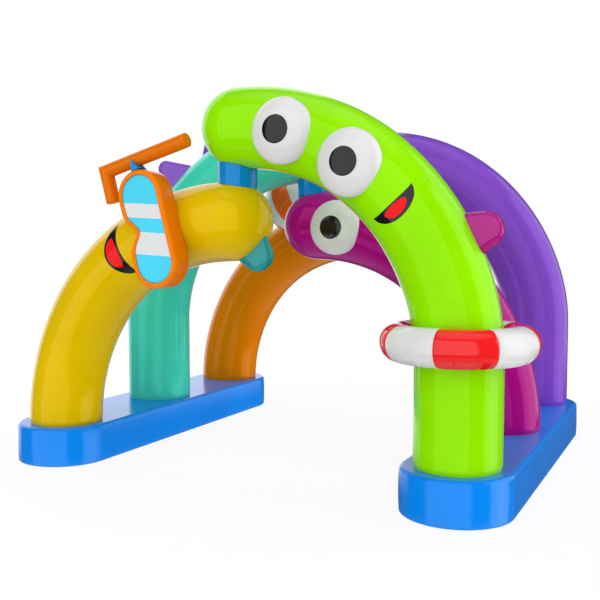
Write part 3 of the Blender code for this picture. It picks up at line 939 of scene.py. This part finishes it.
def mask_spine(outline, sizes):
    """The line in the middle of the outline that its rings shrink to."""
    reach = sizes.mask_length - sizes.mask_width
    down = np.clip(outline[:, 0], -reach, reach)
    return np.stack([down, MASK_NOTCH / 2 * np.exp(-((down / MASK_NOTCH_LONG) ** 2))], 1)


def mask_rings(steps, sizes, tube=None):
    """Rings of (inset, share towards the spine, y), kept in front of a tube's skin if one is named."""
    rings = []
    for inset, share, y in steps:
        outline = mask_outline(inset, sizes)
        outline = outline + (mask_spine(outline, sizes) - outline) * share
        x, z = mask_place(outline[:, 0], outline[:, 1])
        depth = np.full(len(x), y)
        if tube:
            depth = np.minimum(depth, front_of(x, z, tube))
        rings.append(np.stack([x, depth, z], -1))
    return np.array(rings)


def mask_mesh(sizes):
    """The outline carried round a profile: pocket, round bead, outer edge, side, and a back that lies on the
    tube where the tube stands in its way."""
    edge = sizes.mask_edge
    back = MASK_FRONT + sizes.mask_depth
    quarter = np.linspace(0, pi / 2, 7)
    curve = [(1 - cos(q), 1 - sin(q)) for q in quarter]
    rolled = (MASK_RIM - edge) * BEAD_SHARE
    sides = np.linspace(edge, sizes.mask_depth - edge, 12)[1:-1]
    steps = [(MASK_RIM, s, MASK_FRONT + LENS_DEEP) for s in (0.95, 0.6, 0.25, 0.04, 0.0)]
    steps += [(MASK_RIM, 0.0, MASK_FRONT + 0.03), (MASK_RIM, 0.0, MASK_FRONT + BEAD_ROUND)]
    steps += [(MASK_RIM - rolled * c, 0.0, MASK_FRONT + BEAD_ROUND * s) for c, s in curve[1:]]
    steps += [(edge * 1.2, 0.0, MASK_FRONT - 0.002)]
    steps += [(edge * s, 0.0, MASK_FRONT + edge * c) for c, s in curve]
    for depth in sides:
        out = MASK_CROWN * sin(pi * (depth - edge) / (sizes.mask_depth - 2 * edge))
        steps.append((-out, 0.0, MASK_FRONT + depth))
    steps += [(edge * c, 0.0, back - edge * s) for c, s in curve]
    steps += [(edge, s, back) for s in (0.05, 0.2, 0.4, 0.6, 0.8, 0.95)]
    weld = np.where(np.abs([step[0] for step in steps]) < 1e-4, 0.35, 0.0)
    weld[5:7] = 0.6
    return ring_mesh(mask_rings(steps, sizes, "tube_yellow"), weld=weld)


def lens_mesh(sizes):
    """A plate in the pocket with a rounded edge and a low crown."""
    rim = MASK_RIM + GAP
    face = rim + 0.006
    top = MASK_FRONT + LENS_SUNK
    steps = [(rim, s, MASK_FRONT + LENS_DEEP - GAP) for s in (0.95, 0.5, 0.0)]
    steps += [(rim, 0.0, top + 0.01), (rim + 0.002, 0.0, top + 0.004), (face, 0.0, top)]
    steps += [(face, s, top - LENS_CROWN * (1 - (1 - s) ** 2)) for s in (0.1, 0.3, 0.5, 0.75, 0.95)]
    return ring_mesh(mask_rings(steps, sizes))


def lens_bands(colour):
    """Two bands of this colour across the lens, nearly level."""
    def paint(place, base):
        height = place.part(2) + (place.part(0) - (MID_X + MASK_AT[0])) * LENS_FALL
        for start, end in LENS_BANDS:
            base = ((height > start) * (height < end)).mix(base, rgba(colour))
        return base
    return paint


def snorkel_mesh(sizes):
    """A circle carried along the long arm, over a mitred corner and along the short arm, with rounded ends.
    At the mitre each ring leans a little further towards the line where both arms meet."""
    radius = sizes.snorkel_radius
    corner = radius + SNORKEL_MITRE
    around = turns_round("snorkel")
    top, side = -SNORKEL_HEIGHT, -SNORKEL_SIDE
    rings = []

    def ring(down, right, lean_down, lean_right, scale=1.0):
        shift = radius * scale * np.cos(around)
        x, z = mask_place(down + lean_down * shift, right + lean_right * shift)
        rings.append(np.stack([x, SNORKEL_Y + radius * scale * np.sin(around), z], -1))

    edge = ((0.0, 0.2), (0.0, 0.6), (0.0, 0.86), (0.002, 0.93), (0.006, 0.97), (0.014, 1.0))
    mitre = (0.75, 0.92, 0.98)
    for back, scale in edge:
        ring(top, SNORKEL_LONG_END - back, 1, 0, scale)
    for right in np.linspace(SNORKEL_LONG_END - SNORKEL_END, side + corner, 26):
        ring(top, right, 1, 0)
    for share in mitre:
        ring(top, side + (1 - share) * corner, 1, share)
    ring(top, side, 1, 1)
    middle = len(rings) - 1
    for share in mitre[::-1]:
        ring(top + (1 - share) * corner, side, share, 1)
    for down in np.linspace(top + corner, -SNORKEL_SHORT_END - SNORKEL_END, 10):
        ring(down, side, 0, 1)
    for back, scale in edge[::-1]:
        ring(-SNORKEL_SHORT_END - back, side, 0, 1, scale)
    weld = np.zeros(len(rings))
    weld[middle] = 1.0
    return ring_mesh(rings, first="fan", last="fan", weld=weld)


def keeper_mesh(sizes):
    """A soft wedge: a rounded triangle carried through the keeper's depth, smaller at both ends, and moved
    clear of the snorkel round its axis and of the mask's upper end."""
    corners = np.array(KEEPER_CORNERS)
    share = np.linspace(0, 1, 33)[:-1, None]
    pairs = zip(corners, np.roll(corners, -1, 0))
    outline = np.vstack([here + (there - here) * share for here, there in pairs])
    middle = outline.mean(0)
    radius = sizes.snorkel_radius
    shares = np.concatenate([[0, 0.02, 0.05], np.linspace(0.09, 0.91, 22), [0.95, 0.98, 1]])
    shrink = 0.9 + 0.1 * np.sqrt(np.minimum(np.minimum(shares, 1 - shares) / 0.06, 1))
    flat = middle + (outline - middle) * shrink[:, None, None]
    depth = np.broadcast_to((2.0 * shares[:, None] - 1.3) * radius, flat.shape[:2])
    rise = flat[..., 0] + SNORKEL_HEIGHT
    away = np.hypot(rise, depth)
    push = np.maximum(away, radius + GAP) / np.maximum(away, 1e-6)
    down = -SNORKEL_HEIGHT + rise * push
    x, z = mask_place(np.minimum(down, -sizes.mask_length - GAP), flat[..., 1])
    return ring_mesh(np.stack([x, SNORKEL_Y + depth * push, z], -1))


class ARCH_OT_mask(bpy.types.Operator):
    """The diving mask, its banded lens, the snorkel and the keeper"""

    bl_idname = "arch.mask"
    bl_label = "Mask and snorkel"

    def execute(self, context):
        sizes, colours = context.scene.arch_sizes, context.scene.arch_colours
        # The mask's and the snorkel's oranges are one orange painted lighter and darker: painted light on
        # the mask, painted shade on the snorkel
        orange = coated_cloth("mask cloth", "mask_orange")
        snorkel = coated_cloth("snorkel cloth", "snorkel")
        lens = coated_cloth("lens cloth", "cyan", roughness=0.12, bands=lens_bands(colours.white))
        blue = coated_cloth("keeper cloth", "post_blue", gloss=0.55, tint=0.65)
        add_padded("mask_frame", mask_mesh(sizes), orange, "mask_orange")
        add_padded("mask_lens", lens_mesh(sizes), lens, "cyan")
        add_padded("snorkel", snorkel_mesh(sizes), snorkel, "mask_orange")
        add_padded("keeper", keeper_mesh(sizes), blue, "blue")
        return {"FINISHED"}


# Studio
# Soft boxes of the room, far away, each with (from, to) in degrees round from the camera's side, (from, to)
# in degrees up, and its light
SOFT_BOXES = (
    ((-72, 17), (-27, 54), 1.62),
    ((57, 90), (-27, 50), 1.0),
    ((57, 105), (-27, 50), 1.2),
    ((105, 130), (-8, 50), 1.05),
    ((172, 240), (-14, 50), 1.3),
)
SOFT_EDGE = 2.0
DARK_SIDE = 0.08
# Light from above and from below: (from, to) in degrees up, and its strength
TOP_EDGE = (55, 75)
TOP_LIGHT = 1.0
LOW_EDGE = (-32, -50)
LOW_LIGHT = 0.6
# For matt paths the room is more even: a share of its light is taken away, and a fill is added, with more
# of it from the right
SOFTER = 0.22
FILL = 0.235
RIGHT_FILL = 0.34
# The floor's radii in metres, the share of its shaded colour, and the strength of the even white that takes
# the rest
FLOOR_REACH = (80, 40, 20, 10, 5, 2, 0.5)
FLOOR_SHARE = 0.14
FLOOR_WHITE = 1.02


def studio_world():
    """Even white to the camera. To the object a grey room with soft boxes, each a window in two angles with
    soft edges."""
    world = bpy.data.worlds.new("studio")
    world.use_nodes = True
    tree = world.node_tree
    background = tree.nodes["Background"]
    way = Socket(tree, tree.nodes.new("ShaderNodeTexCoord").outputs["Generated"])
    x, y, z = (way.part(index) for index in range(3))
    toward = x * sin(CAMERA_TURN) - y * cos(CAMERA_TURN)
    right = x * cos(CAMERA_TURN) + y * sin(CAMERA_TURN)
    turn = way.math("ARCTAN2", right, toward) * (180 / pi)
    rise = way.math("ARCSINE", z) * (180 / pi)
    light = rise.smooth(*TOP_EDGE, DARK_SIDE, DARK_SIDE + TOP_LIGHT) + rise.smooth(*LOW_EDGE, 0.0, LOW_LIGHT)
    for (start, end), (low, high), strength in SOFT_BOXES:
        turned = way.math("ABSOLUTE", way.math("WRAP", turn - (start + end) / 2, 180.0, -180.0))
        half = (end - start) / 2
        inside = turned.smooth(half + SOFT_EDGE, half - SOFT_EDGE)
        above = rise.smooth(low - SOFT_EDGE, low + SOFT_EDGE)
        below = rise.smooth(high + SOFT_EDGE, high - SOFT_EDGE)
        light = light + inside * above * below * strength
    path = tree.nodes.new("ShaderNodeLightPath")
    seen = Socket(tree, path.outputs["Is Camera Ray"])
    matt = Socket(tree, path.outputs["Is Diffuse Ray"])
    fill = right.smooth(0.0, 0.9, FILL, FILL + RIGHT_FILL)
    strength = seen + (1 - seen) * (light * (1 - matt * SOFTER) + matt * fill)
    background.inputs["Color"].default_value = (1, 1, 1, 1)
    tree.links.new(strength.link, background.inputs["Strength"])
    bpy.context.scene.world = world


def floor_material(colour):
    """A pale floor, mostly even white, that still takes a faint shadow."""
    made, shader, place = new_material("studio floor")
    links, nodes = made.node_tree.links, made.node_tree.nodes
    fine = place.node("ShaderNodeTexNoise", values={"Vector": place, "Scale": 3.0, "Detail": 3.0})
    base = fine.smooth(0.3, 0.7).mix(rgba(colour, 0.99), rgba(colour))
    links.new(base.link, shader.inputs["Base Color"])
    shader.inputs["Roughness"].default_value = 0.8
    glow = nodes.new("ShaderNodeEmission")
    glow.inputs["Color"].default_value = (1, 1, 1, 1)
    glow.inputs["Strength"].default_value = FLOOR_WHITE
    mixed = nodes.new("ShaderNodeMixShader")
    mixed.inputs["Fac"].default_value = FLOOR_SHARE
    links.new(glow.outputs[0], mixed.inputs[1])
    links.new(shader.outputs[0], mixed.inputs[2])
    links.new(mixed.outputs[0], nodes["Material Output"].inputs["Surface"])
    return made


def floor_mesh():
    """A flat disc: circles of the floor's radii, joined by quads, with one face in the middle."""
    around = turns_round("floor")
    reach = np.array(FLOOR_REACH)[:, None]
    rings = np.stack([reach * np.cos(around), reach * np.sin(around), reach * np.zeros(len(around))], -1)
    rows, columns = rings.shape[:2]
    middle = (rows - 1) * columns + np.arange(columns)
    faces = [*grid_quads(rows, columns).tolist(), middle.tolist()]
    mesh = bpy.data.meshes.new("floor")
    mesh.from_pydata(rings.reshape(-1, 3).tolist(), [], faces)
    return mesh


class ARCH_OT_stage(bpy.types.Operator):
    """The pale floor, the studio light and the camera"""

    bl_idname = "arch.stage"
    bl_label = "Stage"

    def execute(self, context):
        scene = context.scene
        mesh = floor_mesh()
        mesh.materials.append(floor_material(scene.arch_colours.floor))
        floor = bpy.data.objects.new("floor", mesh)
        scene.collection.objects.link(floor)
        floor.visible_diffuse = False
        floor.visible_glossy = False
        studio_world()
        camera = bpy.data.objects.new("camera", bpy.data.cameras.new("camera"))
        scene.collection.objects.link(camera)
        camera.location = CAMERA_AT
        camera.rotation_euler = (pi / 2 - CAMERA_TILT, 0, CAMERA_TURN)
        camera.data.lens = CAMERA_LENS
        camera.data.sensor_width = 36
        camera.data.clip_end = 500
        scene.camera = camera
        scene.view_settings.view_transform = "Standard"
        return {"FINISHED"}


class ARCH_PT_panel(bpy.types.Panel):
    """Lists the arch's pieces, sizes and colours"""

    bl_idname = "ARCH_PT_panel"
    bl_label = "Inflatable arch"
    bl_space_type = "VIEW_3D"
    bl_region_type = "UI"
    bl_category = "Arch"

    def draw(self, context):
        layout = self.layout
        for operator in PIECES:
            layout.operator(operator.bl_idname)
        for group in (context.scene.arch_sizes, context.scene.arch_colours):
            box = layout.box()
            for key in group.bl_rna.properties.keys():
                if key not in {"rna_type", "name"}:
                    box.prop(group, key)


PIECES = (
    ARCH_OT_tubes,
    ARCH_OT_bases,
    ARCH_OT_posts,
    ARCH_OT_buoy,
    ARCH_OT_ball,
    ARCH_OT_eyes,
    ARCH_OT_fins,
    ARCH_OT_mouths,
    ARCH_OT_mask,
    ARCH_OT_stage,
)
CLASSES = (ArchSizes, ArchColours, *PIECES, ARCH_PT_panel)


def register():
    for each in CLASSES:
        bpy.utils.register_class(each)
    bpy.types.Scene.arch_sizes = bpy.props.PointerProperty(type=ArchSizes)
    bpy.types.Scene.arch_colours = bpy.props.PointerProperty(type=ArchColours)


def unregister():
    del bpy.types.Scene.arch_colours
    del bpy.types.Scene.arch_sizes
    for each in reversed(CLASSES):
        bpy.utils.unregister_class(each)


def main():
    """Registers the add-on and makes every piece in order."""
    register()
    for operator in PIECES:
        getattr(bpy.ops.arch, operator.bl_idname.removeprefix("arch."))()


if __name__ == "__main__":
    main()
